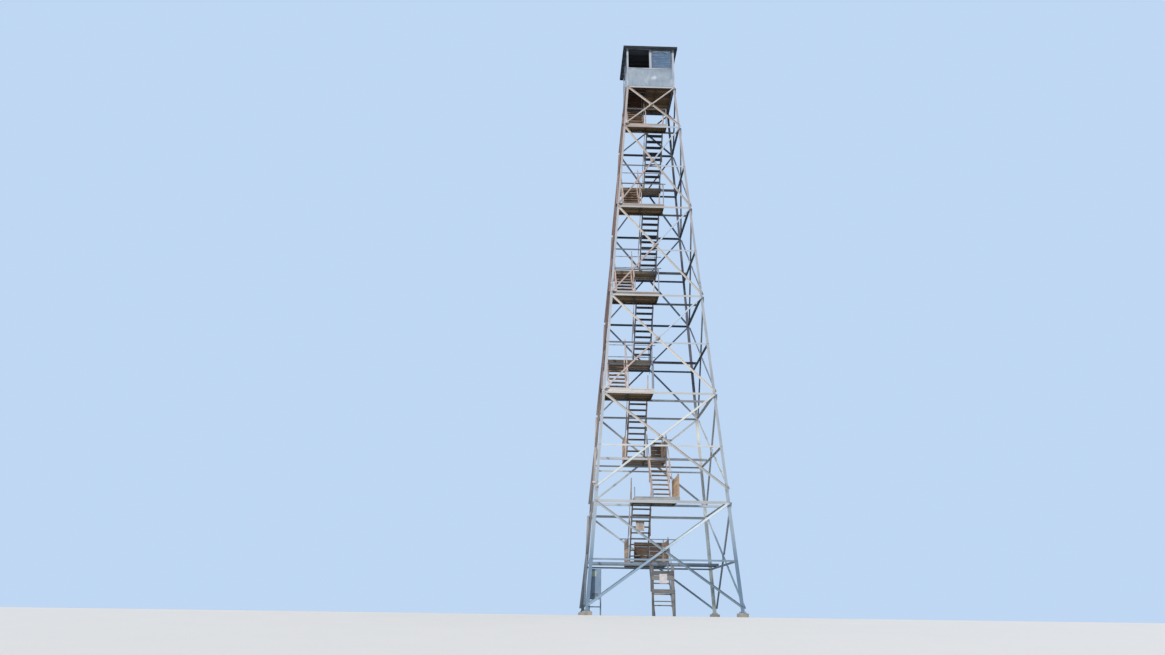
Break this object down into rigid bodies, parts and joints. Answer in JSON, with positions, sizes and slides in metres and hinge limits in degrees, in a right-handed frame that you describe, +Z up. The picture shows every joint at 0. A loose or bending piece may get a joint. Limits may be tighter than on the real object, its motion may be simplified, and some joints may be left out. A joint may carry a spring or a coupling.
{
  "type": "fire lookout tower",
  "caption": "Tall four-legged steel lattice lookout tower with battered legs, cross bracing, timber stair flights and landings, and a square windowed cab under a low pyramid roof.",
  "frame": {"origin": "centre of the four feet, on the ground", "axes": "+Z up; the front landings and the missing window frame face -Y; +X is on the right seen from the front"},
  "size_m": [5.6314, 5.6314, 24.7533],
  "materials": {
    "galvanised": "weathered galvanised steel",
    "plates": "dull galvanised steel plates",
    "plank": "weathered brown planks",
    "board": "weathered guard boards",
    "stair": "timber treads between steel channels",
    "concrete": "grey concrete",
    "cab_sheet": "blotchy galvanised sheet",
    "roof_sheet": "dull galvanised sheet",
    "glass": "clear pane",
    "cabinet": "faded blue-grey paint",
    "sign": "bare pale sign plates"
  },
  "bodies": {
    "root": {"brace_plates": "plates", "cab_ceiling": "board", "cab_floor": "plank", "cab_front_wall": "cab_sheet", "cab_posts": "cab_sheet", "cab_rear_wall": "cab_sheet", "cab_roof": "roof_sheet", "cab_side_walls": "cab_sheet", "concrete_piers": "concrete", "cross_beams": "galvanised", "entrance_frame": "board", "equipment_cabinet": "cabinet", "foot_plates": "plates", "front_braces": "galvanised", "front_girts": "galvanised", "front_landings": "plank", "front_left_leg": "galvanised", "front_right_leg": "galvanised", "guard_boards": "board", "guard_rails": "galvanised", "landing_joists": "plank", "left_braces": "galvanised", "left_girts": "galvanised", "rear_braces": "galvanised", "rear_girts": "galvanised", "rear_landings": "plank", "rear_left_leg": "galvanised", "rear_right_leg": "galvanised", "right_braces": "galvanised", "right_girts": "galvanised", "sign_plates": "sign", "stair_flight_1": "stair", "stair_flight_10": "stair", "stair_flight_11": "stair", "stair_flight_2": "stair", "stair_flight_3": "stair", "stair_flight_4": "stair", "stair_flight_5": "stair", "stair_flight_6": "stair", "stair_flight_7": "stair", "stair_flight_8": "stair", "stair_flight_9": "stair", "stair_handrails": "galvanised", "window_frames": "galvanised", "window_glass": "glass"}
  },
  "joints": []
}
